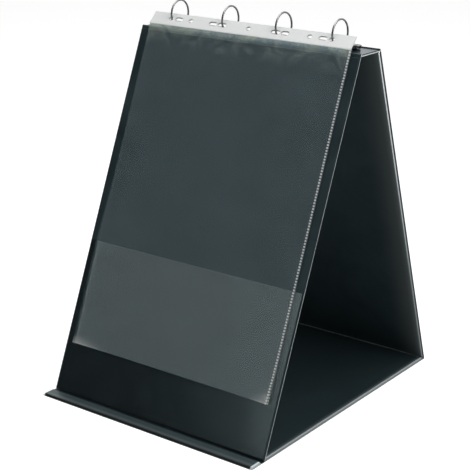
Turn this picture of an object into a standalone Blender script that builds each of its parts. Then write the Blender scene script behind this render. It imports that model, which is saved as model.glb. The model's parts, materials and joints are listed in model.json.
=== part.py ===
"""Tabletop flip chart: five film-covered boards fold into a tent, and ring-bound sleeves hang down its front.

Axes: X runs across the boards, the front faces -Y, +Z is up, and the floor is at zero.
"""

import math

import bmesh
import bpy
from mathutils import Matrix, Vector

# Driving dimensions of the five boards, between fold axes where a board folds
board_width = 0.327
front_length = 0.4734
back_length = 0.4604
spine_length = 0.043
stand_depth = 0.3671
lip_length = 0.0186

# Board build-up
film = 0.0004
core_thickness = 0.0018
film_gap = 0.0002
rim_width = 0.001
narrow_rim = 0.0006
shoulder = 0.0008
core_gap = 0.0003
corner_radius = 0.0008
lip_corner_radius = 0.004
fold_clearance = 0.0009
lip_fold_clearance = 0.0003
rear_fold_set_back = 0.0034
corner_steps = 4
shoulder_width_shares = (0.0, 0.12, 0.45, 1.0)
shoulder_rise_shares = (0.0, 0.55, 0.88, 1.0)

# Channel between base and lip, where the front board stands
board_stand_gap = 0.0003
channel_front = 0.0056
channel_rear = 0.0031
lip_channel_edge = 0.001

# Clear half pocket on the front board
pocket_height = 0.1956
pocket_film = 0.0003
pocket_edge = 0.0004

# Ring-bound sleeves
sleeve_width = 0.300
sleeve_height = 0.416
sleeve_thickness = 0.001
sleeve_cavity = 0.0005
sleeve_seam = 0.003
sleeve_corner_radius = 0.003
sleeve_gap = 0.0003
sleeve_over_fold = 0.0062
strip_width = 0.0178
strip_thickness = 0.0004
strip_lean = math.radians(44.5)
strip_fold_clearance = 0.0005
pocket_fold_clearance = 0.0006
punch_height = 0.0062
punch_slide = 0.0012
punch_end_steps = 8
punch_place_shares = (0.45, 0.74, 0.896)
punch_length_shares = (1.9, 1.0, 1.9)
pair_slot_share = 2.1

# Ring mechanism
ring_pitch = 0.080
ring_count = 4
ring_radius = 0.0167
wire_radius = 0.00125
ring_rise = 0.017
ring_set_back = 0.001
ring_joint_gap = 0.0003
foot_reach = 0.0074
ring_steps = 16
wire_sides = 10
cover_half_length = 0.1425
cover_half_width = 0.010
cover_shoulder_height = 0.0056
cover_crown = 0.0008
cover_wall = 0.0008
cover_corner = 0.0012
cover_corner_steps = 3
cover_crown_shares = (0.6, 0.3, 0.0)
seat_gap = 0.0003
slot_play = 0.0005
slot_depth = 0.0024
blade_half_length = 0.1345
blade_outer_edge = 0.0087
blade_inner_edge = 0.00025
blade_bottom = 0.0016
blade_thickness = 0.0008
blade_notch_depth = 0.0028
blade_relief = 0.0022
rivet_place = 0.1305
rivet_shank = 0.0016
rivet_head = 0.003
rivet_head_height = 0.0014
rivet_foot = 0.0032
rivet_foot_height = 0.0008
rivet_play = 0.0003
rivet_sides = 20
rivet_dome_shares = (0.5, 0.85, 1.0)
rivet_dome_share = 0.75
pin_place = 0.1405
pin_height = 0.0024
pin_radius = 0.0008
pin_end = 0.0006
pin_play = 0.0001
lever_sheet = 0.0011
lever_eye = 0.0019
lever_half_width = 0.004
lever_riser = 0.0026
lever_height = 0.0037
lever_tab = 0.0044
lever_heel = 0.0032
lever_corner = 0.0012

# Overrun of every cutter past the face that it cuts
cut_over = 0.002

# Edges blunter than these are shaded smooth
turned_smooth = math.radians(40)
wire_smooth = math.radians(50)

# Worked-out heights and angles of the tent
panel_half = film + film_gap + core_thickness / 2
panel_thickness = 2 * panel_half
rim_half = film + film_gap / 2
web_middle = film / 2
channel_floor = film


def tent_angles(edge_height):
    """Lean of the front and back boards when the spine lies level, from the lengths of the four sides."""
    base = Vector((stand_depth - spine_length, web_middle - edge_height))
    cosine = (front_length**2 + base.length_squared - back_length**2) / (2 * front_length * base.length)
    front = math.acos(cosine) + math.atan2(base.y, base.x)
    back_rise = edge_height + front_length * math.sin(front) - web_middle
    return front, math.asin(back_rise / back_length)


def rear_overhang(lean):
    """How far the back board's outer face reaches behind its lower fold."""
    reaches = []
    for width_share, rise_share in zip(shoulder_width_shares, shoulder_rise_shares):
        up_board = fold_clearance + rim_width + width_share * shoulder
        out = rim_half + rise_share * (panel_half - rim_half)
        reaches.append(out * math.sin(lean) - up_board * math.cos(lean))
    return max(reaches)


first_lean = tent_angles(channel_floor + board_stand_gap)[0]
front_edge_height = channel_floor + board_stand_gap + rim_half * math.cos(first_lean)
front_angle, back_angle = tent_angles(front_edge_height)
overall_depth = lip_length + channel_front + stand_depth + rear_overhang(back_angle)
front_edge_y = lip_length + channel_front - overall_depth / 2
front_edge = Vector((0, front_edge_y, front_edge_height))
front_fold = front_edge + front_length * Vector((0, math.cos(front_angle), math.sin(front_angle)))
back_fold = front_fold + Vector((0, spine_length, 0))
rear_fold = Vector((0, front_edge_y + stand_depth, web_middle))
lip_fold = Vector((0, front_edge_y - channel_front, web_middle))
spine_top = front_fold.z + panel_half
ring_centre = (front_fold + back_fold) / 2
ring_centre.y += ring_set_back
ring_centre.z = spine_top + ring_rise


def clear_scene():
    """Remove every object that the scene starts with."""
    for thing in list(bpy.data.objects):
        bpy.data.objects.remove(thing, do_unlink=True)


def finish_material(name, colour, roughness, metallic=0.0, alpha=1.0):
    """A Principled material with one colour."""
    material = bpy.data.materials.new(name)
    material.use_nodes = True
    shader = material.node_tree.nodes["Principled BSDF"]
    shader.inputs["Base Color"].default_value = (*colour, 1.0)
    shader.inputs["Roughness"].default_value = roughness
    shader.inputs["Metallic"].default_value = metallic
    shader.inputs["Alpha"].default_value = alpha
    return material


def black_film():
    return finish_material("black_film", (0.014, 0.019, 0.021), 0.38)


def grey_board():
    return finish_material("grey_board", (0.30, 0.28, 0.25), 0.9)


def clear_film():
    return finish_material("clear_film", (0.62, 0.67, 0.66), 0.22, alpha=0.3)


def milky_film():
    return finish_material("milky_film", (0.78, 0.80, 0.79), 0.4)


def bright_steel():
    return finish_material("bright_steel", (0.72, 0.73, 0.74), 0.16, metallic=1.0)


def joint_axis(name, point, angle=0.0):
    """An empty on a joint's axis, turned so that its Y runs along the board."""
    empty = bpy.data.objects.new(name, None)
    empty.location = point
    empty.rotation_euler = (angle, 0, 0)
    bpy.context.scene.collection.objects.link(empty)
    return empty


def add_object(name, mesh_data, parent, material):
    """Link an object with this mesh under its axis."""
    thing = bpy.data.objects.new(name, mesh_data)
    bpy.context.scene.collection.objects.link(thing)
    thing.parent = parent
    if material:
        thing.data.materials.append(material)
    return thing


def finish_mesh(bm, name, smooth_angle=None):
    """Write a bmesh to a new mesh with its faces pointing out."""
    mesh_data = bpy.data.meshes.new(name)
    bm.to_mesh(mesh_data)
    bm.free()
    if smooth_angle:
        mesh_data.shade_smooth()
        mesh_data.set_sharp_from_angle(angle=smooth_angle)
    return mesh_data


def rounded_loop(bm, half_width, start, end, start_radius, end_radius, level):
    """A closed loop of edges round a rectangle with rounded corners, at one level."""
    corners = (
        (-1, start, 1, start_radius, math.pi),
        (1, start, 1, start_radius, 1.5 * math.pi),
        (1, end, -1, end_radius, 0.0),
        (-1, end, -1, end_radius, 0.5 * math.pi),
    )
    points = []
    for side, along, inward, radius, first in corners:
        for step in range(corner_steps + 1):
            angle = first + 0.5 * math.pi * step / corner_steps
            x = side * (half_width - radius) + radius * math.cos(angle)
            y = along + inward * radius + radius * math.sin(angle)
            points.append(bm.verts.new((x, y, level)))
    return [bm.edges.new((a, b)) for a, b in zip(points, points[1:] + points[:1])]


def plate(name, parent, material, half_width, start, end, bottom, thickness, start_radius, end_radius):
    """A flat plate with rounded corners."""
    bm = bmesh.new()
    loop = rounded_loop(bm, half_width, start, end, start_radius, end_radius, bottom)
    face = bmesh.ops.contextual_create(bm, geom=loop)["faces"]
    raised = bmesh.ops.extrude_face_region(bm, geom=face)["geom"]
    verts = [item for item in raised if isinstance(item, bmesh.types.BMVert)]
    bmesh.ops.translate(bm, vec=(0, 0, thickness), verts=verts)
    bmesh.ops.recalc_face_normals(bm, faces=bm.faces)
    return add_object(name, finish_mesh(bm, name), parent, material)


def film_shell(name, parent, material, start, end, rims, rim_level, top_level, start_radius=corner_radius):
    """Film drawn over one side of a board: a flat rim, a rounded shoulder and a flat field.

    rims holds the rim's width at the sides, at the start and at the end.
    """
    side_rim, start_rim, end_rim = rims
    bm = bmesh.new()
    outlines = [(0.0, 0.0, 0.0, rim_level, 0.0)]
    for width_share, rise_share in zip(shoulder_width_shares, shoulder_rise_shares):
        step = width_share * shoulder
        level = rim_level + rise_share * (top_level - rim_level)
        outlines.append((side_rim + step, start_rim + step, end_rim + step, level, step))
    loops = []
    for side_inset, start_inset, end_inset, level, step in outlines:
        loops.append(
            rounded_loop(
                bm,
                board_width / 2 - side_inset,
                start + start_inset,
                end - end_inset,
                max(start_radius - start_inset, corner_radius / 2),
                corner_radius / 2,
                level,
            )
        )
    for inner, outer in zip(loops[1:], loops):
        bmesh.ops.bridge_loops(bm, edges=inner + outer)
    bmesh.ops.contextual_create(bm, geom=loops[-1])
    bmesh.ops.recalc_face_normals(bm, faces=bm.faces)
    field = max(bm.faces, key=lambda face: face.calc_area())
    if field.normal.z * top_level < 0:
        bmesh.ops.reverse_faces(bm, faces=bm.faces)
    thing = add_object(name, finish_mesh(bm, name), parent, material)
    wall = thing.modifiers.new("film thickness", "SOLIDIFY")
    wall.thickness = film
    wall.offset = -1
    wall.use_even_offset = True
    return thing


def board_core(name, parent, material, start, end, insets, bottom, start_radius=corner_radius):
    """Grey board inside a panel's films. insets holds its distance in from the sides, the start and the end."""
    side, first, last = (inset + shoulder + core_gap for inset in insets)
    radius = max(start_radius - first, corner_radius / 2)
    return plate(
        name,
        parent,
        material,
        board_width / 2 - side,
        start + first,
        end - last,
        bottom,
        core_thickness,
        radius,
        corner_radius / 2,
    )


def folding_panel(names, parent, film_finish, board_finish, start, end):
    """A board between two drawn films whose rims meet in its middle plane."""
    outer_name, core_name, inner_name = names
    rims = (rim_width, rim_width, rim_width)
    outer = film_shell(outer_name, parent, film_finish, start, end, rims, rim_half, panel_half)
    core = board_core(core_name, parent, board_finish, start, end, rims, -core_thickness / 2)
    inner = film_shell(inner_name, parent, film_finish, start, end, rims, -rim_half, -panel_half)
    return outer, core, inner


def flat_panel(names, parent, film_finish, board_finish, spans, rims, start_radius):
    """A board on a flat lower film, with a drawn upper film. spans holds the ends of the lower and upper film."""
    upper_name, core_name, lower_name = names
    (low_start, low_end), (top_start, top_end) = spans
    rim_level = web_middle + film_gap + film
    top_level = panel_thickness - web_middle
    film_shell(upper_name, parent, film_finish, top_start, top_end, rims, rim_level, top_level, start_radius)
    bottom = web_middle + film_gap
    board_core(core_name, parent, board_finish, top_start, top_end, rims, bottom, start_radius)
    plate(
        lower_name,
        parent,
        film_finish,
        board_width / 2,
        low_start,
        low_end,
        -web_middle,
        film,
        start_radius,
        corner_radius / 2,
    )


def build_base(film_finish, board_finish, axis):
    """Base board on the floor: its lower film runs on under the front board's edge as the lip's hinge."""
    low_start = lip_fold.y - rear_fold.y + lip_fold_clearance
    top_start = front_edge.y + channel_rear - rear_fold.y
    top_end = -rear_fold_set_back
    spans = ((low_start, -fold_clearance), (top_start, top_end))
    names = ("base_top_film", "base_core", "base_under_film")
    rims = (rim_width, narrow_rim, rim_width)
    flat_panel(names, axis, film_finish, board_finish, spans, rims, corner_radius)


def build_lip(film_finish, board_finish, axis):
    """Lip that lies in front of the channel."""
    spans = ((-lip_length, -lip_fold_clearance), (-lip_length, -lip_channel_edge))
    names = ("lip_top_film", "lip_core", "lip_under_film")
    rims = (rim_width, rim_width, narrow_rim)
    flat_panel(names, axis, film_finish, board_finish, spans, rims, lip_corner_radius)


def build_front_board(film_finish, board_finish, clear_finish, axis):
    """Front board with the clear half pocket across its lower part."""
    names = ("front_face_film", "front_core", "front_rear_film")
    folding_panel(names, axis, film_finish, board_finish, -front_length, -fold_clearance)
    inset = rim_width + shoulder
    plate(
        "front_pocket_film",
        axis,
        clear_finish,
        board_width / 2 - inset,
        -front_length + inset + pocket_edge,
        -front_length + pocket_height,
        panel_half + film_gap,
        pocket_film,
        corner_radius,
        corner_radius,
    )


def build_back_board(film_finish, board_finish, axis):
    names = ("back_outer_film", "back_core", "back_inner_film")
    folding_panel(names, axis, film_finish, board_finish, fold_clearance - back_length, -fold_clearance)


def cutter_from(bm, name, parent):
    """A hidden cutting shape."""
    bmesh.ops.recalc_face_normals(bm, faces=bm.faces)
    cutter = add_object(name, finish_mesh(bm, name), parent, None)
    cutter.hide_render = True
    cutter.display_type = "WIRE"
    return cutter


def cut_with(thing, cutter):
    """Take the cutter's shape out of an object."""
    cut = thing.modifiers.new("cut", "BOOLEAN")
    cut.operation = "DIFFERENCE"
    cut.solver = "EXACT"
    cut.object = cutter


def add_cylinder(bm, radius, low, high, place, sides=rivet_sides):
    """An upright cylinder from low to high round a place in plan."""
    matrix = Matrix.Translation((place[0], place[1], (low + high) / 2))
    bmesh.ops.create_cone(
        bm,
        cap_ends=True,
        segments=sides,
        radius1=radius,
        radius2=radius,
        depth=high - low,
        matrix=matrix,
    )


def add_block(bm, low, high):
    """A box between two corners."""
    size = Vector(high) - Vector(low)
    middle = (Vector(high) + Vector(low)) / 2
    matrix = Matrix.Translation(middle) @ Matrix.Diagonal((*size, 1.0))
    bmesh.ops.create_cube(bm, size=1.0, matrix=matrix)


def rivet_holes(name, parent, low, high):
    """Cutter for the two rivet holes, in the spine's own place."""
    bm = bmesh.new()
    offset = ring_centre - parent.location
    for side in (-1, 1):
        place = (side * rivet_place, offset.y)
        add_cylinder(bm, rivet_shank + rivet_play, low, high, place)
    return cutter_from(bm, name, parent)


def build_spine(film_finish, board_finish, axis):
    """Level board between the two upper folds, drilled for the mechanism's rivets."""
    names = ("spine_top_film", "spine_core", "spine_under_film")
    start = fold_clearance - spine_length
    pieces = folding_panel(names, axis, film_finish, board_finish, start, -fold_clearance)
    reach = panel_half + cut_over
    holes = rivet_holes("spine_rivet_holes", axis, -reach, reach)
    for piece in pieces:
        cut_with(piece, holes)


def cover_outline():
    """Half of the cover's arched section, from its foot to the middle, as offsets from the spine's top."""
    points = [(cover_half_width, seat_gap)]
    centre_y = cover_half_width - cover_corner
    centre_z = cover_shoulder_height - cover_corner
    for step in range(cover_corner_steps + 1):
        angle = 0.5 * math.pi * step / cover_corner_steps
        y = centre_y + cover_corner * math.cos(angle)
        z = centre_z + cover_corner * math.sin(angle)
        points.append((y, z))
    for share in cover_crown_shares:
        rise = cover_crown * (1 - share * share)
        points.append((share * centre_y, cover_shoulder_height + rise))
    return points


def ring_places():
    """Places of the rings across the spine."""
    return [(index - (ring_count - 1) / 2) * ring_pitch for index in range(ring_count)]


def build_cover(finish, axis):
    """Arched cover plate of the ring mechanism, with a slot at every wire and holes for rivets and pins."""
    half = cover_outline()
    section = half + [(-y, z) for y, z in reversed(half[:-1])]
    bm = bmesh.new()
    verts = [bm.verts.new((-cover_half_length, y, z)) for y, z in section]
    edges = [bm.edges.new(pair) for pair in zip(verts, verts[1:])]
    run = bmesh.ops.extrude_edge_only(bm, edges=edges)["geom"]
    moved = [item for item in run if isinstance(item, bmesh.types.BMVert)]
    bmesh.ops.translate(bm, vec=(2 * cover_half_length, 0, 0), verts=moved)
    bmesh.ops.recalc_face_normals(bm, faces=bm.faces)
    top = max(bm.faces, key=lambda face: face.calc_center_median().z)
    if top.normal.z < 0:
        bmesh.ops.reverse_faces(bm, faces=bm.faces)
    cover = add_object("ring_cover", finish_mesh(bm, "ring_cover"), axis, finish)
    wall = cover.modifiers.new("sheet thickness", "SOLIDIFY")
    wall.thickness = cover_wall
    wall.offset = -1
    wall.use_even_offset = True

    bm = bmesh.new()
    half_slot = wire_radius + slot_play
    high = cover_shoulder_height + cover_crown + cut_over
    for x in ring_places():
        for side in (-1, 1):
            near = side * (cover_half_width - slot_depth)
            far = side * (cover_half_width + cut_over)
            low_y, high_y = sorted((near, far))
            add_block(bm, (x - half_slot, low_y, -cut_over), (x + half_slot, high_y, high))
    for side in (-1, 1):
        add_cylinder(bm, rivet_shank + rivet_play, seat_gap, high, (side * rivet_place, 0))
        reach = cover_half_width + cut_over
        pin_hole = Matrix.Translation((side * pin_place, 0, pin_height)) @ Matrix.Rotation(math.pi / 2, 4, "X")
        bmesh.ops.create_cone(
            bm,
            cap_ends=True,
            segments=rivet_sides,
            radius1=pin_radius + pin_play,
            radius2=pin_radius + pin_play,
            depth=2 * reach,
            matrix=pin_hole,
        )
    cut_with(cover, cutter_from(bm, "cover_openings", axis))


def turned_solid(name, parent, material, profile, place, smooth_angle=turned_smooth):
    """A solid turned about an upright axis. The profile runs down its outer side from the axis to the axis."""
    bm = bmesh.new()
    verts = [bm.verts.new((radius, 0, height)) for radius, height in profile]
    edges = [bm.edges.new(pair) for pair in zip(verts, verts[1:])]
    bmesh.ops.spin(
        bm,
        geom=verts + edges,
        cent=(0, 0, 0),
        axis=(0, 0, 1),
        angle=2 * math.pi,
        steps=rivet_sides,
    )
    bmesh.ops.remove_doubles(bm, verts=bm.verts, dist=film / 100)
    bmesh.ops.recalc_face_normals(bm, faces=bm.faces)
    thing = add_object(name, finish_mesh(bm, name, smooth_angle), parent, material)
    thing.location = place
    return thing


def build_rivets(finish, axis):
    """Two rivets that hold the cover to the spine board."""
    head_low = cover_shoulder_height + cover_crown + seat_gap
    foot_high = -panel_thickness - seat_gap
    profile = [(0.0, head_low + rivet_head_height)]
    for share in rivet_dome_shares:
        drop = rivet_head_height * (1 - math.sqrt(1 - rivet_dome_share * share * share))
        profile.append((rivet_head * share, head_low + rivet_head_height - drop))
    profile += [
        (rivet_head, head_low),
        (rivet_shank, head_low),
        (rivet_shank, foot_high),
        (rivet_foot, foot_high),
        (rivet_foot, foot_high - rivet_foot_height),
        (0.0, foot_high - rivet_foot_height),
    ]
    for name, side in (("left_rivet", -1), ("right_rivet", 1)):
        turned_solid(name, axis, finish, profile, (side * rivet_place, 0, 0))


def blade_outline(side):
    """Outline of one hinge blade in plan: notches for the wires, and hollows for the rivets at its inner edge."""
    outer = side * blade_outer_edge
    inner = side * blade_inner_edge
    notch = side * (blade_outer_edge - blade_notch_depth)
    half_notch = wire_radius + seat_gap
    points = [(-blade_half_length, outer)]
    for x in ring_places():
        points += [(x - half_notch, outer), (x - half_notch, notch), (x + half_notch, notch), (x + half_notch, outer)]
    points += [(blade_half_length, outer), (blade_half_length, inner)]
    half_relief = math.sqrt(blade_relief**2 - blade_inner_edge**2)
    limit = math.asin(blade_inner_edge / blade_relief)
    steps = rivet_sides // 2
    for centre in (rivet_place, -rivet_place):
        points.append((centre + half_relief, inner))
        for step in range(1, steps):
            angle = limit + (math.pi - 2 * limit) * step / steps
            points.append((centre + blade_relief * math.cos(angle), side * blade_relief * math.sin(angle)))
        points.append((centre - half_relief, inner))
    points.append((-blade_half_length, inner))
    return points


def extruded(name, parent, material, points, extrusion, smooth_angle=None):
    """A prism: a flat outline in space, pushed along a vector."""
    bm = bmesh.new()
    face = bm.faces.new([bm.verts.new(point) for point in points])
    raised = bmesh.ops.extrude_face_region(bm, geom=[face])["geom"]
    verts = [item for item in raised if isinstance(item, bmesh.types.BMVert)]
    bmesh.ops.translate(bm, vec=extrusion, verts=verts)
    bmesh.ops.recalc_face_normals(bm, faces=bm.faces)
    return add_object(name, finish_mesh(bm, name, smooth_angle), parent, material)


def build_half_ring(name, finish, axis, x, side):
    """Half of one ring: round wire from its foot in the blade's notch up to the joint at the top."""
    centre = ring_centre - axis.location
    foot_angle = math.acos(foot_reach / ring_radius)
    joint_angle = ring_joint_gap / 2 / ring_radius
    sweep = math.pi / 2 + foot_angle - joint_angle
    bm = bmesh.new()
    place = Matrix.Translation((x, centre.y, centre.z)) @ Matrix.Rotation(-side * joint_angle, 4, "X")
    place = place @ Matrix.Translation((0, 0, ring_radius)) @ Matrix.Rotation(math.pi / 2, 4, "X")
    circle = bmesh.ops.create_circle(bm, cap_ends=True, segments=wire_sides, radius=wire_radius, matrix=place)
    faces = list({face for vert in circle["verts"] for face in vert.link_faces})
    bmesh.ops.spin(
        bm,
        geom=faces,
        cent=(x, centre.y, centre.z),
        axis=(1, 0, 0),
        angle=-side * sweep,
        steps=ring_steps,
    )
    bmesh.ops.recalc_face_normals(bm, faces=bm.faces)
    return add_object(name, finish_mesh(bm, name, wire_smooth), axis, finish)


def build_blade(name, finish, axis, side):
    """One hinge blade under the cover."""
    offset = ring_centre - axis.location
    height = spine_top + blade_bottom - axis.location.z
    points = [(x, offset.y + y, height) for x, y in blade_outline(side)]
    extruded(name, axis, finish, points, (0, 0, blade_thickness))


def lever_outline(side):
    """Side view of a lever about its pin: heel, eye, riser and thumb tab."""
    half = lever_sheet / 2
    outer = lever_riser + lever_sheet
    top = lever_height
    points = [(-lever_heel, -half), (lever_riser + lever_sheet - lever_corner, -half)]
    points += [(outer, lever_corner - half), (outer, top - lever_sheet)]
    points += [(lever_riser + lever_tab, top - lever_sheet), (lever_riser + lever_tab, top)]
    points += [(lever_riser + lever_corner / 2, top), (lever_riser, top - lever_corner / 2), (lever_riser, half)]
    steps = rivet_sides // 2
    rise = math.asin(half / lever_eye)
    for step in range(steps + 1):
        angle = rise + (math.pi - 2 * rise) * step / steps
        points.append((lever_eye * math.cos(angle), lever_eye * math.sin(angle)))
    points.append((-lever_heel, half))
    return [(side * x, z) for x, z in points]


def build_lever(name, finish, axis, side):
    """Thumb lever at one end of the cover, on its pin."""
    points = [(x, -lever_half_width, z) for x, z in lever_outline(side)]
    lever = extruded(name, axis, finish, points, (0, 2 * lever_half_width, 0))
    bm = bmesh.new()
    bmesh.ops.create_cone(
        bm,
        cap_ends=True,
        segments=rivet_sides,
        radius1=pin_radius + pin_play,
        radius2=pin_radius + pin_play,
        depth=2 * (lever_half_width + cut_over),
        matrix=Matrix.Rotation(math.pi / 2, 4, "X"),
    )
    cut_with(lever, cutter_from(bm, name + "_bore", axis))


def build_pin(name, finish, axis, side):
    """Pin through the cover's two walls that a lever turns on."""
    bm = bmesh.new()
    bmesh.ops.create_cone(
        bm,
        cap_ends=True,
        segments=rivet_sides,
        radius1=pin_radius,
        radius2=pin_radius,
        depth=2 * (cover_half_width + pin_end),
        matrix=Matrix.Rotation(math.pi / 2, 4, "X"),
    )
    pin = add_object(name, finish_mesh(bm, name, turned_smooth), axis, finish)
    pin.location = (side * pin_place, 0, pin_height)


def sleeve_seam_point(layer):
    """Crease between a sleeve's strip and its pocket. Layer 0 lies on the front board, layer 1 on layer 0."""
    lift = panel_half + film_gap + pocket_film + sleeve_gap + sleeve_thickness / 2
    lift += layer * (sleeve_thickness + sleeve_gap)
    along = Vector((0, math.cos(front_angle), math.sin(front_angle)))
    outward = Vector((0, -math.sin(front_angle), math.cos(front_angle)))
    return front_fold + sleeve_over_fold * along + lift * outward


def wire_crossing(seam):
    """Distance up a strip from its crease to where the ring's wire goes through it."""
    along = Vector((0, math.cos(strip_lean), math.sin(strip_lean)))
    offset = seam - ring_centre
    middle = -offset.dot(along)
    return middle - math.sqrt(middle**2 - offset.length_squared + ring_radius**2)


def punch_plan():
    """Centres and lengths of the punched holes across a strip, for two, three, four and seven ring binders."""
    inner = ring_pitch / 2
    outer = (ring_count - 1) * ring_pitch / 2
    half_plan = [(inner, pair_slot_share * punch_height), (outer, punch_height)]
    for place, length in zip(punch_place_shares, punch_length_shares):
        half_plan.append((place * outer, length * punch_height))
    plan = [(0.0, punch_height)]
    for centre, length in half_plan:
        plan += [(-centre, length), (centre, length)]
    return plan


def slot_prism(bm, centre_x, centre_y, length, low, high):
    """A round-ended slot as a solid, for cutting."""
    radius = punch_height / 2
    reach = length / 2 - radius
    steps = punch_end_steps
    points = []
    for side, first in ((1, -0.5 * math.pi), (-1, 0.5 * math.pi)):
        last = steps if reach > 0 else steps - 1
        for step in range(last + 1):
            angle = first + math.pi * step / steps
            x = centre_x + side * reach + radius * math.cos(angle)
            points.append((x, centre_y + radius * math.sin(angle), low))
    face = bm.faces.new([bm.verts.new(point) for point in points])
    raised = bmesh.ops.extrude_face_region(bm, geom=[face])["geom"]
    verts = [item for item in raised if isinstance(item, bmesh.types.BMVert)]
    bmesh.ops.translate(bm, vec=(0, 0, high - low), verts=verts)


def build_strip(name, finish, axis, seam):
    """Punched strip of a sleeve, leaning back over the rings."""
    strip = plate(
        name,
        axis,
        finish,
        sleeve_width / 2,
        strip_fold_clearance,
        strip_width,
        -strip_thickness / 2,
        strip_thickness,
        corner_radius / 2,
        corner_radius,
    )
    place = wire_crossing(seam) - punch_slide
    bm = bmesh.new()
    for centre, length in punch_plan():
        slot_prism(bm, centre, place, length, -cut_over, cut_over)
    cut_with(strip, cutter_from(bm, name + "_punch", axis))


def build_pocket(name, finish, axis):
    """Clear pocket of a sleeve: two welded sheets, open along the top under the strip."""
    pocket = plate(
        name,
        axis,
        finish,
        sleeve_width / 2,
        -sleeve_height,
        -pocket_fold_clearance,
        -sleeve_thickness / 2,
        sleeve_thickness,
        sleeve_corner_radius,
        corner_radius,
    )
    bm = bmesh.new()
    half = sleeve_width / 2 - sleeve_seam
    low = (-half, sleeve_seam - sleeve_height, -sleeve_cavity / 2)
    add_block(bm, low, (half, cut_over, sleeve_cavity / 2))
    cut_with(pocket, cutter_from(bm, name + "_inside", axis))


def build_sleeve(name, layer, strip_finish, pocket_finish):
    """One ring-bound sleeve: its strip and its pocket each on an empty at the crease."""
    seam = sleeve_seam_point(layer)
    strip_axis = joint_axis(name + "_strip_axis", seam, strip_lean)
    pocket_axis = joint_axis(name + "_pocket_axis", seam, front_angle)
    build_strip(name + "_strip", strip_finish, strip_axis, seam)
    build_pocket(name + "_pocket", pocket_finish, pocket_axis)


def build_mechanism(finish):
    """Ring mechanism on the spine: cover, rivets, pins, levers, and two blades with their half rings."""
    seat = Vector((0, ring_centre.y, spine_top))
    cover_axis = joint_axis("ring_cover_seat", seat)
    build_cover(finish, cover_axis)
    build_rivets(finish, cover_axis)
    for name, side in (("left", -1), ("right", 1)):
        build_pin(name + "_lever_pin", finish, cover_axis, side)
        pin = seat + Vector((side * pin_place, 0, pin_height))
        lever_axis = joint_axis(name + "_lever_axis", pin)
        build_lever(name + "_lever", finish, lever_axis, side)
    for name, side in (("front", -1), ("rear", 1)):
        hinge = seat + Vector((0, side * blade_outer_edge, blade_bottom + blade_thickness / 2))
        blade_axis = joint_axis(name + "_blade_axis", hinge)
        build_blade(name + "_blade", finish, blade_axis, side)
        for index, x in enumerate(ring_places(), start=1):
            build_half_ring(f"{name}_half_ring_{index}", finish, blade_axis, x, side)


def main():
    clear_scene()
    film_finish = black_film()
    board_finish = grey_board()
    clear_finish = clear_film()
    milky_finish = milky_film()
    steel_finish = bright_steel()
    build_base(film_finish, board_finish, joint_axis("base_seat", rear_fold))
    build_lip(film_finish, board_finish, joint_axis("lip_fold_axis", lip_fold))
    build_back_board(film_finish, board_finish, joint_axis("base_fold_axis", rear_fold, -back_angle))
    build_spine(film_finish, board_finish, joint_axis("back_fold_axis", back_fold))
    front_axis = joint_axis("front_fold_axis", front_fold, front_angle)
    build_front_board(film_finish, board_finish, clear_finish, front_axis)
    build_mechanism(steel_finish)
    build_sleeve("rear_sleeve", 0, milky_finish, clear_finish)
    build_sleeve("front_sleeve", 1, milky_finish, clear_finish)


main()
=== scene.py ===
"""Dresses the tabletop flip chart: film-covered boards, clear sleeves, ring mechanism and a plain studio."""

import json
import math

import bmesh
import bpy
import numpy as np
from bpy.props import FloatProperty, FloatVectorProperty, IntProperty, PointerProperty
from mathutils import Matrix, Vector, noise


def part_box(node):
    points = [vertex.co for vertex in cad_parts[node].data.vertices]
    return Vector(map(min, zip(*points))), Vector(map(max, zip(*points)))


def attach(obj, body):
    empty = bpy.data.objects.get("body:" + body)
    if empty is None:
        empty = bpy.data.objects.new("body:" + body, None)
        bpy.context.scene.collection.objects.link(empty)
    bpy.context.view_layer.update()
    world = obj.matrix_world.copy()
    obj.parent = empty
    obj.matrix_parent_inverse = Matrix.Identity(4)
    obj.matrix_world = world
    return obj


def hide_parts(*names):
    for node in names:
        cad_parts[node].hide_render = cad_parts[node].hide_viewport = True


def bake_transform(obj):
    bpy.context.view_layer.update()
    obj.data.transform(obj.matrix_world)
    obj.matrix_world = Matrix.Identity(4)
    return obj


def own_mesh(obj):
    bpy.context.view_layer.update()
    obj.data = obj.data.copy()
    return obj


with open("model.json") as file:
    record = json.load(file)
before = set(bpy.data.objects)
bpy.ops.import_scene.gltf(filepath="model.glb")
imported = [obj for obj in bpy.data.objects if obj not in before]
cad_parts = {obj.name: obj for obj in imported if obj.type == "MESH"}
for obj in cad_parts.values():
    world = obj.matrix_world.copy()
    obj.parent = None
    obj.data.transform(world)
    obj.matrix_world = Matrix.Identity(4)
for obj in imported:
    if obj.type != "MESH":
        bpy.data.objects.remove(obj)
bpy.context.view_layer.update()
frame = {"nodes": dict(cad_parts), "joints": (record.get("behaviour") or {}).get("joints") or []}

bl_info = {
    "name": "Tabletop flip chart",
    "version": (1, 0, 0),
    "blender": (4, 5, 0),
    "location": "View3D > Sidebar > Flip chart",
    "description": "Builds the films, sleeves, rings and studio of a tabletop flip chart round its frame",
    "category": "Object",
}

JOINTS = {joint["name"]: joint for joint in frame["joints"]}


def fold_point(name):
    """A joint's place at rest."""
    return Vector(JOINTS[name]["pos_m"])


def board_lean(name):
    """How far a board leans from level: its fold shuts to a right angle with the spine."""
    return math.radians(-JOINTS[name]["range_deg"][0] - 90)


def local_box(node, place):
    """A node's corners in the axes of a board."""
    inverse = np.array(place.inverted())
    points = np.array([(*vert.co, 1.0) for vert in frame["nodes"][node].data.vertices]) @ inverse.T
    return Vector(points.min(axis=0)[:3]), Vector(points.max(axis=0)[:3])


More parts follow.
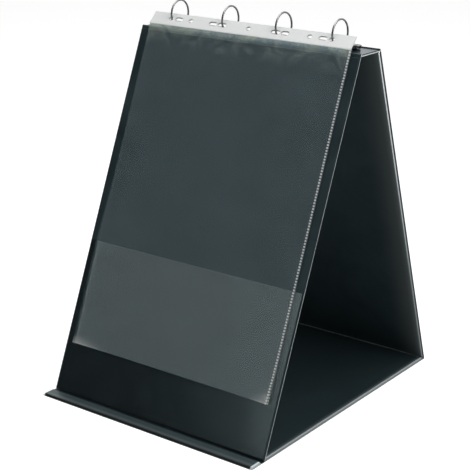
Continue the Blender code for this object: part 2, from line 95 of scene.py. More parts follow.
FRONT_LEAN = board_lean("front_fold")
BACK_LEAN = board_lean("back_fold")
FRONT_FOLD = fold_point("front_fold")
BACK_FOLD = fold_point("back_fold")
BASE_FOLD = fold_point("base_fold")
LIP_FOLD = fold_point("lip_fold")
RING_CENTRE = fold_point("page_turn")
CREASE = fold_point("page_drape")
FRONT_BOARD = Matrix.Translation(FRONT_FOLD) @ Matrix.Rotation(FRONT_LEAN, 4, "X")
BACK_BOARD = Matrix.Translation(BACK_FOLD) @ Matrix.Rotation(-BACK_LEAN, 4, "X")
SPINE_BOARD = Matrix.Translation(BACK_FOLD)
FLAT = Matrix.Identity(4)
FRONT_DOWN = Vector((0, -math.cos(FRONT_LEAN), -math.sin(FRONT_LEAN)))
FRONT_OUTWARD = Vector((0, -math.sin(FRONT_LEAN), math.cos(FRONT_LEAN)))
BACK_DOWN = Vector((0, math.cos(BACK_LEAN), -math.sin(BACK_LEAN)))
REARWARD = Vector((0, 1, 0))
HALF_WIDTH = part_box("front_face_film")[1].x
POCKET_FOOT, POCKET_MOUTH = (corner.y for corner in local_box("front_pocket_film", FRONT_BOARD))

MERGE_DISTANCE = 0.000001
WHITE = (1.0, 1.0, 1.0)

# Angles past which an edge stays sharp or is bevelled, and up to which faces count as flat
SHEET_EDGE = math.radians(35)
CURVED_EDGE = math.radians(50)
FILM_EDGE = math.radians(60)
FLAT_FACES = math.radians(0.5)


# Sizes and colours that a user may change


def colour_setting(name, description, default):
    """A colour of red, green and blue."""
    return FloatVectorProperty(
        name=name, description=description, subtype="COLOR", default=default, min=0, max=1
    )


def share_setting(name, description, default):
    """A share from zero to one."""
    return FloatProperty(name=name, description=description, subtype="FACTOR", default=default, min=0, max=1)


def length_setting(name, description, default):
    """A length in metres."""
    return FloatProperty(name=name, description=description, unit="LENGTH", default=default)


def angle_setting(name, description, degrees):
    """An angle, written in degrees."""
    return FloatProperty(name=name, description=description, subtype="ANGLE", default=math.radians(degrees))


def plain_setting(name, description, default):
    """A number without a unit."""
    return FloatProperty(name=name, description=description, default=default)


def count_setting(name, description, default, least, most):
    """A whole number between two limits."""
    return IntProperty(name=name, description=description, default=default, min=least, max=most)


class BoardSettings(bpy.types.PropertyGroup):
    """Films and edges of the five boards."""

    film_colour: colour_setting("Film colour", "Colour of the black film", (0.0145, 0.0235, 0.0265))
    # The film inside the tent and on top of the lip is given paler colours than the same film outside:
    # painted light on copies of one film
    inner_colour: colour_setting(
        "Inner film colour", "Colour of the film inside the tent", (0.043, 0.065, 0.072)
    )
    lip_colour: colour_setting("Lip colour", "Colour of the film on top of the lip", (0.028, 0.042, 0.047))
    worn_colour: colour_setting(
        "Rubbed colour", "Colour of the film where handling has greyed it", (0.028, 0.044, 0.050)
    )
    # Pale cut and welded edges: partly their own colour, partly a painted highlight along the board edges
    cut_edge_highlight_colour: colour_setting(
        "Cut edge colour", "Colour of the trimmed and welded edges", (0.46, 0.49, 0.49)
    )
    roughness: share_setting("Film roughness", "Roughness of the satin film", 0.36)
    # Pale film along the base's rear fold: strained film, and a painted highlight in the shaded corner
    fold_strain_highlight_colour: colour_setting(
        "Strained film colour", "Colour of the film along the base's rear fold", (0.55, 0.57, 0.57)
    )
    fold_strain_highlight_width: length_setting(
        "Strained edge width", "Width of the strained film along the base's rear fold", 0.0024
    )
    # Width over which the painted rim light and shade reach in from an edge
    painted_rim_reach: length_setting("Rim reach", "Width over which a film's rim differs from its middle", 0.042)
    weld_width: length_setting("Weld width", "Width of the weld round each board", 0.0014)
    weld_thickness: length_setting("Weld thickness", "Thickness of the weld between the two films", 0.0002)
    fold_reach: length_setting("Fold reach", "How far the fold film runs along each board", 0.00095)
    crest_height: length_setting(
        "Crest height", "How far the doubled film bulges over an upper fold", 0.0036
    )
    fold_thickness: length_setting(
        "Fold thickness", "Thickness of the doubled film across an upper fold", 0.00088
    )
    single_thickness: length_setting(
        "Single film thickness", "Thickness of the film across a floor fold", 0.00038
    )


class SleeveSettings(bpy.types.PropertyGroup):
    """Clear pockets and their punched strips."""

    haze_colour: colour_setting("Haze colour", "Colour that the clear film adds", (0.28, 0.375, 0.41))
    haze: share_setting("Haze", "Share of light that one wall of the clear film stops", 0.05)
    # Paler film in the creases: partly whitened film, partly painted reflections of the wrinkles
    crease_sheen_colour: colour_setting(
        "Aged haze colour", "Colour of the haze where the film is creased", (0.45, 0.52, 0.45)
    )
    pocket_gloss: share_setting(
        "Pocket gloss", "Share of the half pocket's bare film that mirrors the studio", 0.34
    )
    pocket_haze: share_setting(
        "Pocket haze", "Share of light that the half pocket's film stops under the sleeves", 0.3
    )
    strip_colour: colour_setting("Strip colour", "Colour of the milky punched strip", (0.93, 0.94, 0.93))
    weld_margin: length_setting("Weld margin", "Width of the dotted weld along a pocket's edge", 0.0020)
    dot_pitch: length_setting("Weld dot pitch", "Distance between the dots of the weld", 0.0034)
    wrinkle_height: length_setting("Wrinkle height", "Height of the wrinkles under the crease", 0.0011)
    wrinkle_reach: length_setting("Wrinkle reach", "How far down the wrinkles run", 0.027)
    hang_slip: length_setting("Hang slip", "How far the foot of a sleeve hangs to the right", 0.0030)
    corner_curl: length_setting("Corner curl", "How far the lower corners lift", 0.004)
    left_lift: length_setting(
        "Left edge lift", "How far the lower left edge stands off the board", 0.0055
    )


class RingSettings(bpy.types.PropertyGroup):
    """Rings, cover, levers and rivets."""

    # Darker than bright nickel: painted shade for the dark surroundings that the rings mirror
    shaded_steel_colour: colour_setting("Steel colour", "Colour of the nickel-plated steel", (0.29, 0.295, 0.30))
    roughness: share_setting("Steel roughness", "Roughness of the plating", 0.2)
    wire_sides: count_setting("Wire sides", "Sides of the ring wire", 16, 8, 32)
    ring_steps: count_setting("Ring steps", "Steps along half a ring", 36, 12, 72)
    tip_bevel: length_setting("Tip bevel", "Bevel on the wire's cut ends", 0.0003)
    edge_bevel: length_setting("Sheet edge bevel", "Bevel on the pressed sheet's edges", 0.00018)


class StageSettings(bpy.types.PropertyGroup):
    """Camera and lamps."""

    lens: plain_setting("Lens", "Focal length on a 36 mm sensor, in millimetres", 103.483)
    azimuth: angle_setting("Azimuth", "Camera's turn to the right of the front", 36.907)
    elevation: angle_setting("Elevation", "Camera's height as an angle", 18.489)
    roll: angle_setting("Roll", "Camera's turn about its own axis", 0.102)
    distance: length_setting("Distance", "Distance from the camera to its target", 1.6305)
    target: FloatVectorProperty(
        name="Target",
        description="Point that the camera looks at",
        subtype="XYZ",
        default=(0.03369, -0.05549, 0.21539),
    )
    front_box_radiance: plain_setting(
        "Front soft box", "Brightness of the soft box that the front board mirrors", 0.62
    )
    top_box_radiance: plain_setting("Top soft box", "Brightness of the soft box overhead", 2.6)
    side_box_radiance: plain_setting("Side soft box", "Brightness of the soft box on the right", 3.0)


# Shared helpers


def pick(piece=None):
    """Select one piece alone, or nothing, so that an operator acts on nothing else."""
    bpy.ops.object.select_all(action="DESELECT")
    if piece:
        piece.select_set(True)
        bpy.context.view_layer.objects.active = piece


def add_primitive(operator, name, **options):
    """A named primitive, the start of a piece."""
    pick()
    operator(**options)
    piece = bpy.context.object
    piece.name = name
    return piece


def open_edit(piece):
    """Edit one piece with everything selected."""
    pick(piece)
    bpy.ops.object.mode_set(mode="EDIT")
    bpy.ops.mesh.select_all(action="SELECT")


def close_edit():
    bpy.ops.object.mode_set(mode="OBJECT")


def stretch_over(low, high, level):
    """In edit mode, stretch a unit square over a box's plan, at a level."""
    bpy.ops.transform.resize(value=(high.x - low.x, high.y - low.y, 1.0))
    bpy.ops.transform.translate(value=((low.x + high.x) / 2, (low.y + high.y) / 2, level))


def select_where(piece, test):
    """In edit mode, select the vertices that pass the test."""
    bm = bmesh.from_edit_mesh(piece.data)
    for vert in bm.verts:
        vert.select_set(bool(test(vert.co)))
    bm.select_flush(True)
    bm.select_flush(False)
    bmesh.update_edit_mesh(piece.data)


def settle(piece):
    """Put a piece's place into its mesh."""
    pick(piece)
    bpy.ops.object.transform_apply(location=True, rotation=True, scale=True)


def apply_modifiers(piece):
    pick(piece)
    for modifier in list(piece.modifiers):
        bpy.ops.object.modifier_apply(modifier=modifier.name)


def add_wall(piece, thickness):
    """Give a sheet its thickness."""
    wall = piece.modifiers.new("thickness", "SOLIDIFY")
    wall.thickness = thickness
    wall.offset = 0.0
    wall.use_even_offset = True
    apply_modifiers(piece)


def add_bevel(piece, width, segments, angle):
    """Break a piece's sharp edges."""
    bevel = piece.modifiers.new("broken edges", "BEVEL")
    bevel.width = width
    bevel.segments = segments
    bevel.limit_method = "ANGLE"
    bevel.angle_limit = angle
    apply_modifiers(piece)


def smooth(piece, angle=SHEET_EDGE):
    pick(piece)
    bpy.ops.object.shade_smooth_by_angle(angle=angle)


def recalculate(piece):
    """Turn all faces outwards after merging doubled points."""
    open_edit(piece)
    bpy.ops.mesh.remove_doubles(threshold=MERGE_DISTANCE)
    bpy.ops.mesh.normals_make_consistent(inside=False)
    close_edit()


def paint(piece, material):
    piece.data.materials.clear()
    piece.data.materials.append(material)


def repaint(node, material):
    """Give a frame node a better material."""
    for slot in frame["nodes"][node].material_slots:
        slot.material = material


def linked_copy(name, mesh):
    """A new object in the scene with its own copy of a mesh."""
    copy = bpy.data.objects.new(name, mesh.copy())
    bpy.context.scene.collection.objects.link(copy)
    return copy


def ribbon(name, half_width, path):
    """A sheet across the boards that follows a path in the YZ plane."""
    start = Vector((0, *path[0]))
    centre = start + Vector((0, half_width, 0))
    piece = add_primitive(bpy.ops.mesh.primitive_plane_add, name, size=2 * half_width, location=centre)
    settle(piece)
    open_edit(piece)
    select_where(piece, lambda co: co.y > centre.y)
    bpy.ops.mesh.delete(type="VERT")
    bpy.ops.mesh.select_all(action="SELECT")
    for here, there in zip(path, path[1:]):
        step = (0, there[0] - here[0], there[1] - here[1])
        bpy.ops.mesh.extrude_region_move(TRANSFORM_OT_translate={"value": step})
    close_edit()
    return piece


def smooth_copy(node, name, bevel_width):
    """A frame node's shape with merged points, broken edges and smooth shading."""
    copy = linked_copy(name, frame["nodes"][node].data)
    recalculate(copy)
    open_edit(copy)
    bpy.ops.mesh.dissolve_limited(angle_limit=FLAT_FACES)
    close_edit()
    if bevel_width:
        add_bevel(copy, bevel_width, segments=2, angle=CURVED_EDGE)
    smooth(copy)
    return copy


# Nodes


def is_socket(value):
    return isinstance(value, bpy.types.NodeSocket)


def new_node(beside, kind):
    """A new shader node in the tree of another node or socket."""
    return beside.id_data.nodes.new("ShaderNode" + kind)


def connect(socket, source):
    """Link a node's input to another node's output, or set it to a constant."""
    if is_socket(source):
        socket.id_data.links.new(source, socket)
    else:
        socket.default_value = (*source, 1.0) if socket.type == "RGBA" else source


def feed(node, **sources):
    """Link or set a node's inputs, which are named with an underscore for each space."""
    for name, source in sources.items():
        connect(node.inputs[name.replace("_", " ")], source)


def coordinate(beside, output="Object"):
    return new_node(beside, "TexCoord").outputs[output]


def split_axes(vector):
    """The three parts of a vector."""
    split = new_node(vector, "SeparateXYZ")
    feed(split, Vector=vector)
    return split.outputs


def stretched(vector, scale):
    """A vector scaled on each axis."""
    mapping = new_node(vector, "Mapping")
    feed(mapping, Vector=vector, Scale=scale)
    return mapping.outputs[0]


def add_noise(vector, scale, detail, roughness=0.5, distortion=0.0):
    """A noise texture fed by a vector."""
    texture = new_node(vector, "TexNoise")
    feed(texture, Vector=vector, Scale=scale, Detail=detail, Roughness=roughness, Distortion=distortion)
    return texture.outputs["Fac"]


def add_range(value, low, high, out_low=0.0, out_high=1.0):
    """Map a value from one range to another."""
    mapped = new_node(value, "MapRange")
    feed(mapped, Value=value, From_Min=low, From_Max=high, To_Min=out_low, To_Max=out_high)
    return mapped.outputs["Result"]


def add_math(operation, *values):
    """A math node on sockets or numbers."""
    step = new_node(next(filter(is_socket, values)), "Math")
    step.operation = operation
    for socket, value in zip(step.inputs, values):
        connect(socket, value)
    return step.outputs[0]


def multiply(first, *others):
    """Product of sockets and numbers."""
    for value in others:
        first = add_math("MULTIPLY", first, value)
    return first


def weighted_sum(*terms):
    """Sum of sockets, each times its weight."""
    total, *others = (multiply(value, weight) for value, weight in terms)
    for value in others:
        total = add_math("ADD", total, value)
    return total


def add_colour_mix(factor, first, second):
    """Mix two colours by a factor."""
    mix = new_node(factor, "Mix")
    mix.data_type = "RGBA"
    feed(mix, Factor=factor, A=first, B=second)
    return mix.outputs["Result"]


def add_bump(height, distance, strength, **normal):
    """A bump from a height, on top of another normal where one is given."""
    bump = new_node(height, "Bump")
    feed(bump, Height=height, Distance=distance, Strength=strength, **normal)
    return bump.outputs["Normal"]


def scaled(colour, factor):
    """A colour made darker or paler."""
    return tuple(factor * value for value in colour)


# Shared node groups


def new_group(name, vector, numbers, results):
    """An empty shader group: its tree, its given values and its output node."""
    tree = bpy.data.node_groups.new(name, "ShaderNodeTree")
    tree.interface.new_socket(vector, in_out="INPUT", socket_type="NodeSocketVector")
    for way, sockets in (("INPUT", numbers), ("OUTPUT", results)):
        for socket in sockets:
            tree.interface.new_socket(socket, in_out=way, socket_type="NodeSocketFloat")
    return tree, tree.nodes.new("NodeGroupInput").outputs, tree.nodes.new("NodeGroupOutput")


def film_surface_group():
    """Fine grain, slow waviness and handling smears of a plastic film."""
    tree, given, out = new_group(
        "film_surface", "Vector", ("Grain Scale", "Smear Scale"), ("Grain", "Waves", "Smears")
    )
    place = given["Vector"]
    smears = add_noise(place, given["Smear Scale"], detail=5.0, roughness=0.62, distortion=0.6)
    feed(
        out,
        Grain=add_noise(place, given["Grain Scale"], detail=2.0, roughness=0.6),
        Waves=add_noise(place, scale=9.0, detail=2.0, roughness=0.4),
        Smears=add_range(smears, 0.35, 0.68),
    )
    return tree


def weld_dots_group():
    """Weld along a film's right and bottom edges, from a map in metres: dots, hem, and a painted highlight at
    the bent lower corners.
    """
    tree, given, out = new_group(
        "weld_dots", "Map", ("Width", "Margin", "Pitch"), ("Dots", "Hem", "Corners")
    )
    margin = given["Margin"]
    rightward, upward, _ = split_axes(given["Map"])
    from_right = add_math("SUBTRACT", given["Width"], rightward)
    band = add_math("LESS_THAN", from_right, margin)
    turn = add_math("DIVIDE", 2 * math.pi, given["Pitch"])
    wave = add_math("SINE", multiply(upward, turn))
    dots = multiply(add_range(wave, -0.5, 0.5), band)
    right_corner = weighted_sum((from_right, 34.0), (upward, 40.0))
    left_corner = weighted_sum((rightward, 16.0), (upward, 75.0))
    nearest = add_math("MINIMUM", right_corner, left_corner)
    feed(
        out,
        Dots=weighted_sum((dots, 0.6), (band, 0.4)),
        Hem=add_math("LESS_THAN", upward, multiply(margin, 0.5)),
        Corners=add_range(nearest, 0.1, 1.0, 1.0, 0.0),
    )
    return tree


def crinkle_group():
    """Paler patches and threads under a film's top edge, partly whitened creases and partly painted
    reflections of the wrinkles, and a pale painted band just under the edge, from a place and a distance
    below the edge.
    """
    tree, given, out = new_group(
        "crinkle", "Vector", ("Below", "Reach"), ("Patches", "Threads", "Band")
    )
    place, below = given["Vector"], given["Below"]
    fade = add_range(add_math("DIVIDE", below, given["Reach"]), 0.0, 1.0, 1.0, 0.0)
    blots = add_noise(place, scale=38.0, detail=4.0, roughness=0.6, distortion=1.2)
    combed = stretched(place, (55.0, 260.0, 260.0))
    lines = add_noise(combed, scale=1.0, detail=3.0, roughness=0.6, distortion=0.5)
    # Patches and threads are partly whitened creases and partly painted reflections; the band is painted
    # light
    feed(
        out,
        Patches=multiply(add_range(blots, 0.40, 0.60), fade),
        Threads=multiply(add_range(lines, 0.55, 0.72), fade),
        Band=add_range(below, 0.0030, 0.0105, 1.0, 0.0),
    )
    return tree


def plated_metal_group():
    """Rolling marks and small scuffs of plated sheet and wire."""
    tree, given, out = new_group("plated_metal", "Vector", (), ("Scuffs", "Rolling"))
    place = given["Vector"]
    combed = stretched(place, (40.0, 1600.0, 1600.0))
    scuffs = add_noise(place, scale=160.0, detail=5.0, roughness=0.7, distortion=0.4)
    feed(
        out,
        Scuffs=add_range(scuffs, 0.45, 0.7),
        Rolling=add_noise(combed, scale=1.0, detail=3.0, roughness=0.6),
    )
    return tree


GROUPS = {
    "film_surface": film_surface_group,
    "weld_dots": weld_dots_group,
    "crinkle": crinkle_group,
    "plated_metal": plated_metal_group,
}


def place_group(beside, group, **values):
    """Put a shared group into a material with its own values, and return its outputs."""
    holder = new_node(beside, "Group")
    holder.node_tree = bpy.data.node_groups.get(group) or GROUPS[group]()
    feed(holder, **values)
    return holder.outputs


# Materials


def start_material(name):
    """A new node material and its Principled shader."""
    material = bpy.data.materials.new(name)
    material.use_nodes = True
    return material, material.node_tree.nodes["Principled BSDF"]


def start_film(name, grain_scale, smear_scale):
    """A new material with the shared film surface placed in it."""
    material, shader = start_material(name)
    scales = {"Grain_Scale": grain_scale, "Smear_Scale": smear_scale}
    return material, shader, place_group(shader, "film_surface", Vector=coordinate(shader), **scales)


# Painted rims of the black films, partly pale welded margins and mostly painted highlights, painted light and
# painted shade: distance from an edge in metres, grey to be tinted, and cover over the film
RIM_TINT = (0.94, 1.06, 1.08)
# Lip ends: a grey margin and a pale line, a painted highlight
LIP_RIM_PAINTED_LIGHT = (
    *((0.0, 0.36, 1.0), (0.0010, 0.36, 1.0), (0.0012, 0.62, 1.0)),
    *((0.0030, 0.62, 1.0), (0.0034, 0.05, 0.0)),
)
# Lip front: painted shade down its front edge, then a painted highlight along its front shoulder
LIP_FRONT_PAINTED_LIGHT_AND_SHADE = (
    *((0.0, 0.004, 1.0), (0.0016, 0.004, 1.0), (0.0021, 0.03, 1.0), (0.0030, 0.03, 1.0)),
    *((0.0038, 0.075, 1.0), (0.0062, 0.075, 1.0), (0.0090, 0.04, 0.0)),
)
# Back board: a grey margin, a bright painted highlight line, then painted light fading over 42 mm from the
# side edges
BACK_RIM_PAINTED_LIGHT = (
    *((0.0, 0.08, 1.0), (0.0013, 0.08, 1.0), (0.0015, 0.92, 1.0), (0.0025, 0.92, 1.0)),
    *((0.0028, 0.36, 1.0), (0.0050, 0.20, 0.9), (0.0110, 0.13, 0.75), (0.0420, 0.09, 0.0)),
)
# Base: a grey margin, a painted highlight line, then painted light fading over 8 mm from the side edges
BASE_RIM_PAINTED_LIGHT = (
    *((0.0, 0.20, 1.0), (0.0010, 0.20, 1.0), (0.0012, 0.36, 1.0)),
    *((0.0025, 0.36, 1.0), (0.0028, 0.10, 1.0), (0.0080, 0.05, 0.0)),
)


def film_place(shader):
    """A point's distance from the nearer side edge, whether it lies on a side wall, and its place."""
    place = split_axes(coordinate(shader))
    across = add_math("ABSOLUTE", place[0])
    from_side = add_math("SUBTRACT", HALF_WIDTH, across)
    wall = add_range(across, HALF_WIDTH - 0.0002, HALF_WIDTH - 0.0001)
    return from_side, wall, place


def lay_painted_rim(film, distance, stops):
    """A film's colour with a painted rim of highlight, light and shade over it, by the distance from an edge.
    """
    reach = bpy.context.scene.flipchart_boards.painted_rim_reach
    ramp = new_node(film, "ValToRGB")
    elements = ramp.color_ramp.elements
    for index, (from_edge, grey, cover) in enumerate(stops):
        element = elements[index] if index < 2 else elements.new(1.0)
        element.position = from_edge / reach
        element.color = (*scaled(RIM_TINT, grey), cover)
    feed(ramp, Fac=add_math("DIVIDE", distance, reach))
    return add_colour_mix(ramp.outputs["Alpha"], film, ramp.outputs["Color"])


def strained_highlit_rear_edge(place):
    """The lower rear edge of a film over the base's fold, pale partly from strain and partly as a painted
    highlight.
    """
    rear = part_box("base_top_film")[1]
    start = rear.y - bpy.context.scene.flipchart_boards.fold_strain_highlight_width
    rearward = add_range(place[1], start, start + 0.0004)
    return multiply(rearward, add_math("LESS_THAN", place[2], rear.z + 0.0001))


def film_material(name, colours, painted_rim=(), front=(), wall=None, roughness=None, grain=0.12):
    """Satin black film with grain, slow waves and smears, and painted highlights, painted light and painted
    shade at the rims and side wall.
    """
    settings = bpy.context.scene.flipchart_boards
    material, shader, surface = start_film(name, grain_scale=1500.0, smear_scale=14.0)
    smears = surface["Smears"]
    film = add_colour_mix(smears, *colours)
    from_side, on_wall, place = film_place(shader)
    # Painted shade down the lip's front, and a painted highlight along its shoulder
    if front:
        from_front = add_math("SUBTRACT", place[1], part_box("lip_top_film")[0].y)
        film = lay_painted_rim(film, from_front, front)
    elif painted_rim:
        # Pale rear edge over the base's fold: strained film and a painted highlight
        film = add_colour_mix(strained_highlit_rear_edge(place), film, settings.fold_strain_highlight_colour)
    # Painted highlights and painted light along the side edges
    if painted_rim:
        film = lay_painted_rim(film, from_side, painted_rim)
    # A side wall colour of its own, pale as a painted highlight on the lip, base, spine and fold films
    if wall is not None:
        film = add_colour_mix(on_wall, film, wall)
    if roughness is None:
        roughness = settings.roughness
    waves = add_bump(surface["Waves"], distance=0.0008, strength=0.4)
    feed(
        shader,
        Base_Color=film,
        Specular_Tint=(0.66, 0.95, 1.0),
        Roughness=add_range(smears, 0.0, 1.0, roughness - 0.03, roughness + 0.07),
        Normal=add_bump(surface["Grain"], distance=0.00001, strength=grain, Normal=waves),
    )
    return material


def black_films():
    """Colours, rims, side wall, roughness and grain of each black film."""
    settings = bpy.context.scene.flipchart_boards
    film, worn, cut = settings.film_colour, settings.worn_colour, settings.cut_edge_highlight_colour
    return {
        # Facing outwards, and black to its very edge
        "black_film_satin": {"colours": (film, worn)},
        # On top of the lip: pale at its ends and along its front shoulder as painted highlights, dark down
        # its front as painted shade, with a pale side wall that is partly cut edge and partly painted
        # highlight
        "black_film_lip": {
            "colours": (settings.lip_colour, settings.lip_colour),
            "painted_rim": LIP_RIM_PAINTED_LIGHT,
            "front": LIP_FRONT_PAINTED_LIGHT_AND_SHADE,
            "wall": (0.42, 0.44, 0.44),
        },
        # On top of the base, with a painted highlight line round its core, a grey margin, painted light
        # fading in from the side edges, and a grey side wall as painted light
        "black_film_base": {"colours": (film, film), "painted_rim": BASE_RIM_PAINTED_LIGHT, "wall": (0.22, 0.24, 0.24)},
        # Behind the front board and round the spine, where the side wall alone is pale: partly cut edge,
        # partly a painted highlight
        "black_film_wall": {"colours": (film, worn), "wall": scaled(cut, 1.6), "roughness": 0.22},
        # Underneath the boards that lie on the table, in their own shade
        "black_film_under": {"colours": ((0.004, 0.006, 0.007), (0.009, 0.011, 0.012))},
        # Doubled over an upper fold, and glossy where it bends, with pale ends that are partly cut edge and
        # partly a painted highlight
        "black_film_fold": {
            "colours": (film, (0.06, 0.072, 0.075)), "wall": cut, "roughness": 0.3, "grain": 0.3
        },
        # Across the fold behind the base, grey partly from the strain of bending and partly as a painted
        # highlight in the shaded corner
        "black_film_strained_fold_highlight": {
            "colours": ((0.13, 0.15, 0.15), (0.075, 0.09, 0.09)), "roughness": 0.4, "grain": 0.3
        },
    }


def back_film_material():
    """Film inside the back board, with a pinched weld line that glows as painted light, brighter towards its
    top.
    """
    settings = bpy.context.scene.flipchart_boards
    material = film_material(
        "black_film_back",
        (settings.inner_colour, settings.worn_colour),
        painted_rim=BACK_RIM_PAINTED_LIGHT,
        wall=(0.02, 0.025, 0.025),
    )
    shader = material.node_tree.nodes["Principled BSDF"]
    from_side, _, place = film_place(shader)
    # A glowing line near each side edge: painted light, fading out towards the bottom
    line_start, line_end, blur = 0.0015, 0.0025, 0.0002
    inner = add_range(from_side, line_end, line_end + blur, 1.0, 0.0)
    outer = add_range(from_side, line_start - blur, line_start)
    upward = add_range(place[2], 0.12, FRONT_FOLD.z, out_low=0.0, out_high=0.6)
    feed(shader, Emission_Color=(0.95, 1.0, 1.0), Emission_Strength=multiply(inner, outer, upward))
    return material


def pale_edge_highlight_material():
    """Pale film where it was welded and trimmed, painted paler still as the highlight that the edges catch.
    """
    pale = bpy.context.scene.flipchart_boards.cut_edge_highlight_colour
    material, shader, surface = start_film("welded_edge_highlight", grain_scale=900.0, smear_scale=90.0)
    feed(
        shader,
        Base_Color=add_colour_mix(surface["Smears"], pale, scaled(pale, 0.6)),
        Roughness=add_range(surface["Grain"], 0.3, 0.7, 0.35, 0.6),
    )
    return material


def grey_board_material():
    """Grey board with pulp fibres."""
    material, shader, surface = start_film("grey_board_fibre", grain_scale=1200.0, smear_scale=220.0)
    feed(
        shader,
        Base_Color=add_colour_mix(surface["Smears"], (0.26, 0.24, 0.21), (0.36, 0.34, 0.30)),
        Roughness=0.92,
        Normal=add_bump(surface["Grain"], distance=0.00006, strength=0.7),
    )
    return material


def start_clear_film(name):
    """What the sleeves' and the half pocket's film share: smears and slow waves."""
    material, shader, surface = start_film(name, grain_scale=420.0, smear_scale=26.0)
    feed(shader, Normal=add_bump(surface["Waves"], distance=0.0015, strength=0.4))
    return material, shader, surface


def veiled(*veils):
    """Alpha from several veils and the haze of a film seen edge on, held at one."""
    edge_on = new_node(veils[0], "LayerWeight")
    feed(edge_on, Blend=0.12)
    total = multiply(edge_on.outputs["Facing"], 0.2)
    for veil in veils:
        total = add_math("ADD", total, veil)
    return add_math("MINIMUM", total, 1.0)


def sleeve_film_material(name, width, height, dots, crinkles):
    """Clear sleeve film: thin haze, a dotted weld down its right edge, paler creases that are partly painted
    reflections, a painted pale band under its top edge, and painted highlights at its lower corners.
    """
    settings = bpy.context.scene.flipchart_sleeves
    material, shader, surface = start_clear_film(name)
    smears, haze_colour, haze = surface["Smears"], settings.haze_colour, settings.haze
    flat_map = stretched(coordinate(shader, "UV"), (width, height, 1.0))
    weld = place_group(
        shader, "weld_dots", Map=flat_map, Width=width, Margin=settings.weld_margin, Pitch=settings.dot_pitch
    )
    crinkle = place_group(
        shader,
        "crinkle",
        Vector=coordinate(shader),
        Below=add_math("SUBTRACT", height, split_axes(flat_map)[1]),
        Reach=settings.wrinkle_reach * 1.15,
    )
    tinted = add_colour_mix(smears, haze_colour, scaled(haze_colour, 1.12))
    # Creased patches paler: partly whitened film, partly painted reflection
    creased = add_colour_mix(crinkle["Patches"], tinted, settings.crease_sheen_colour)
    # Pale weld dots, and painted highlights at the curled lower corners
    dots_and_corner_highlights = add_math("MAXIMUM", weld["Dots"], weld["Corners"])
    marks = weighted_sum(
        (weld["Dots"], dots),
        (weld["Hem"], 0.12),
        (weld["Corners"], 0.09),
        (crinkle["Patches"], crinkles),
        (crinkle["Threads"], crinkles * 0.8),
        # A pale band just under the top edge: painted light
        (crinkle["Band"], crinkles * 2.0),
    )
    feed(
        shader,
        Base_Color=add_colour_mix(dots_and_corner_highlights, creased, (0.86, 0.88, 0.86)),
        Roughness=0.42,
        Alpha=veiled(add_range(smears, 0.0, 1.0, haze, haze * 1.15), marks),
    )
    return material


def pocket_film_material():
    """Clear half pocket: glossy and bare at the margins, hazy where the sleeves lie on it, and paler towards
    its right end and up its height as a painted reflection.
    """
    settings = bpy.context.scene.flipchart_sleeves
    material, shader, surface = start_clear_film("clear_film_pocket")
    low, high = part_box("front_sleeve_pocket")
    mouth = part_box("front_pocket_film")[1].z
    rightward, _, upward = split_axes(coordinate(shader))
    across = add_math("ABSOLUTE", rightward)
    between_sides = add_range(across, high.x - 0.0012, high.x, 1.0, 0.0)
    above_foot = add_range(upward, low.z, low.z + 0.0012)
    # Paler towards the right end, and more so higher up: painted reflection
    reflection_near_right = add_range(rightward, high.x - 0.028, high.x + 0.002)
    reflection_rise = add_range(upward, 0.0, mouth, 0.12, 0.46)
    under_sleeves = multiply(between_sides, above_foot)
    haze_and_reflection = add_math("MAXIMUM", under_sleeves, multiply(reflection_near_right, reflection_rise))
    veil = add_range(haze_and_reflection, 0.0, 1.0, settings.pocket_gloss, settings.pocket_haze)
    feed(
        shader,
        Base_Color=add_colour_mix(haze_and_reflection, (0.009, 0.0155, 0.0175), (0.50, 0.585, 0.57)),
        IOR=2.4,
        Specular_Tint=(0.70, 0.93, 1.0),
        Roughness=add_range(surface["Smears"], 0.0, 1.0, 0.16, 0.26),
        Alpha=veiled(veil),
    )
    return material


def milky_film_material():
    """Milky reinforcing film of the punched strips, partly see-through, which also glows a little as painted
    light.
    """
    milky = bpy.context.scene.flipchart_sleeves.strip_colour
    material, shader, surface = start_film("milky_film", grain_scale=700.0, smear_scale=40.0)
    smears = surface["Smears"]
    feed(
        shader,
        Base_Color=add_colour_mix(smears, milky, scaled(milky, 0.9)),
        Roughness=add_range(smears, 0.0, 1.0, 0.34, 0.5),
        Alpha=0.86,
        # A faint glow that brightens the strip: painted light
        Emission_Color=WHITE,
        Emission_Strength=0.155,
        Normal=add_bump(surface["Grain"], distance=0.00003, strength=0.4),
    )
    return material


def steel_material():
    """Nickel-plated steel with rolling marks and scuffs, darkened as painted shade for the dark surroundings
    that it mirrors.
    """
    settings = bpy.context.scene.flipchart_rings
    steel, rough = settings.shaded_steel_colour, settings.roughness
    material, shader = start_material("nickel_steel")
    marks = place_group(shader, "plated_metal", Vector=coordinate(shader))
    feed(
        shader,
        Base_Color=add_colour_mix(marks["Scuffs"], steel, scaled(steel, 0.72)),
        Metallic=1.0,
        Roughness=add_range(marks["Scuffs"], 0.0, 1.0, rough, rough + 0.14),
        Normal=add_bump(marks["Rolling"], distance=0.00001, strength=0.35),
    )
    return material


MAKERS = {
    "black_film_back": back_film_material,
    "welded_edge_highlight": pale_edge_highlight_material,
    "grey_board_fibre": grey_board_material,
    "clear_film_pocket": pocket_film_material,
    "milky_film": milky_film_material,
    "nickel_steel": steel_material,
}


def finish(name):
    """A named material, made the first time that it is asked for."""
    made = bpy.data.materials.get(name)
    if made:
        return made
    return MAKERS[name]() if name in MAKERS else film_material(name, **black_films()[name])


# Film relief of the sleeves and the half pocket, with lengths in metres


def ease(distance, width):
    """Smooth step from zero to one over a width."""
    share = min(max(distance / width, 0.0), 1.0)
    return share * share * (3 - 2 * share)


def ripple(x, up, across, along, layer):
    """Noise over the board, by its waves per metre across and along it."""
    return noise.noise(Vector((x * across, up * along, layer)))


